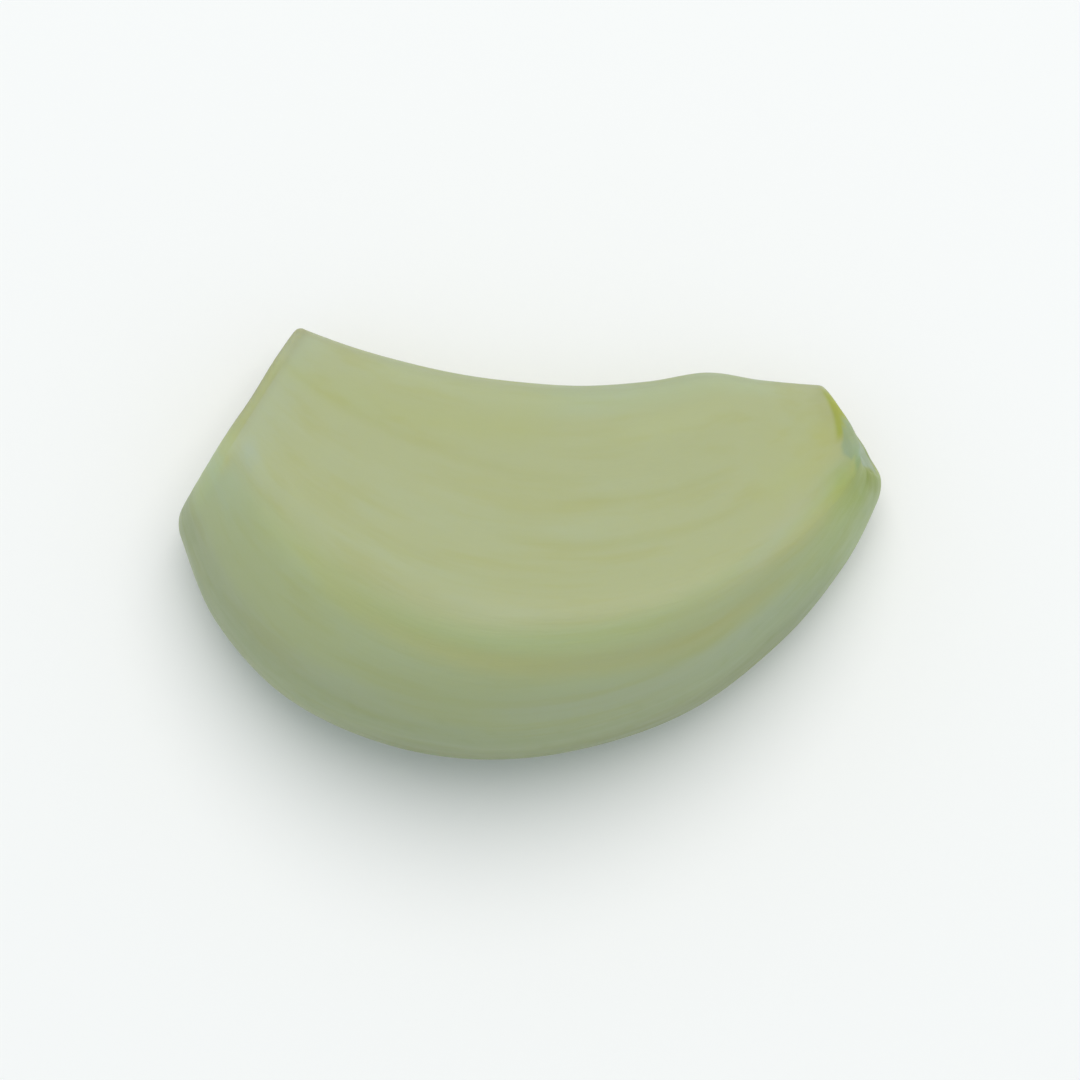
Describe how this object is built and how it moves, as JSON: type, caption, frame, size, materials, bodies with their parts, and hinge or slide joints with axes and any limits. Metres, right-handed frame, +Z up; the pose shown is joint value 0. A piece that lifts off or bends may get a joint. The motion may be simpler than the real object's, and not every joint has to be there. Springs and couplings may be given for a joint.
{
  "type": "garlic clove",
  "caption": "Peeled garlic clove with a curved wedge shape, trimmed flat at the tip and at the root, lying on one flat side.",
  "frame": {"origin": "middle of the clove's footprint, on the surface that it lies on", "axes": "+X along the clove from the cut tip to the root end, +Y towards its hollow inner edge, +Z up through its thickness"},
  "size_m": [0.0342, 0.0216, 0.0128],
  "materials": {
    "clove_flesh": "firm moist vegetable flesh, greenish cream, satin, with faint yellow lines along its length"
  },
  "bodies": {
    "root": {"garlic_clove": "clove_flesh"}
  },
  "joints": []
}
